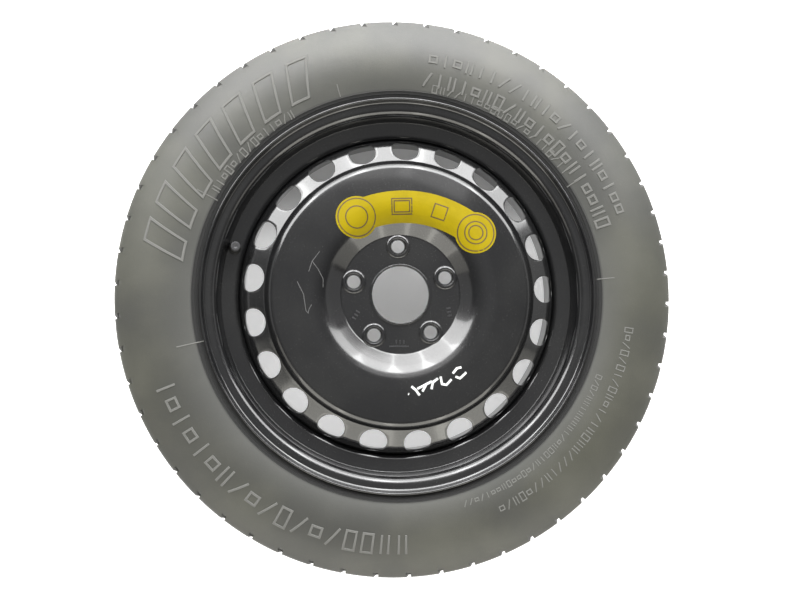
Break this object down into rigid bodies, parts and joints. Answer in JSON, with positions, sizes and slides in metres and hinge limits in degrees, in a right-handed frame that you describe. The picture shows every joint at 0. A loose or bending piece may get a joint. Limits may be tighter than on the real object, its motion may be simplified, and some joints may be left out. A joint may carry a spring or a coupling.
{
  "type": "spare wheel",
  "caption": "Temporary-use spare wheel: narrow grooved tyre on a gloss-black pressed-steel rim and vented disc, with a snap-in valve, dust cap and plain yellow sticker.",
  "frame": {"origin": "the wheel's centre, on its axis and midway between the rim's flanges", "axes": "+Z along the wheel's axis towards the outer face, so the wheel lies on its inner sidewall; +Y towards the side that is at the top in the picture"},
  "size_m": [0.62, 0.62, 0.1282],
  "materials": {
    "tyre_rubber": "matt, greyed rubber",
    "wheel_paint": "gloss black paint",
    "label_film": "satin yellow film",
    "valve_rubber": "matt black rubber",
    "brass": "turned brass",
    "seal_rubber": "matt rubber",
    "spring_steel": "bright wire",
    "cap_plastic": "moulded black plastic"
  },
  "bodies": {
    "wheel": {"tyre": "tyre_rubber", "rim": "wheel_paint", "wheel_disc": "wheel_paint", "weld_beads": "wheel_paint", "label": "label_film", "valve_rubber": "valve_rubber", "valve_stem": "brass", "valve_core_plug": "brass", "valve_core_barrel": "brass", "valve_core_gasket": "seal_rubber", "valve_core_spring": "spring_steel"},
    "core_pin": {"valve_core_pin": "brass", "valve_core_cup": "brass", "valve_core_washer": "seal_rubber"},
    "cap_lift": {"valve_cap_seal": "seal_rubber"},
    "cap_turn": {"valve_cap": "cap_plastic"}
  },
  "joints": [
    {"name": "pin_push", "type": "slide", "parent": "wheel", "child": "core_pin", "axis": [-0.1671, 0.0473, -0.9848], "range_m": [0, 0.0012], "stiffness_N_per_m": 1000, "springref_m": -0.002, "deforming": ["valve_core_spring"]},
    {"name": "cap_slide", "type": "slide", "parent": "wheel", "child": "cap_lift", "axis": [0.1671, -0.0473, 0.9848], "range_m": [0, 0.00635]},
    {"name": "cap_screw", "type": "hinge", "parent": "cap_lift", "child": "cap_turn", "pos_m": [-0.18073, 0.05114, 0.04743], "axis": [0.1671, -0.0473, 0.9848], "range_deg": [0, 2880]}
  ],
  "couplings": [
    {"joint": "cap_screw", "follows": "cap_slide", "rad_per_m": 7913.3}
  ]
}
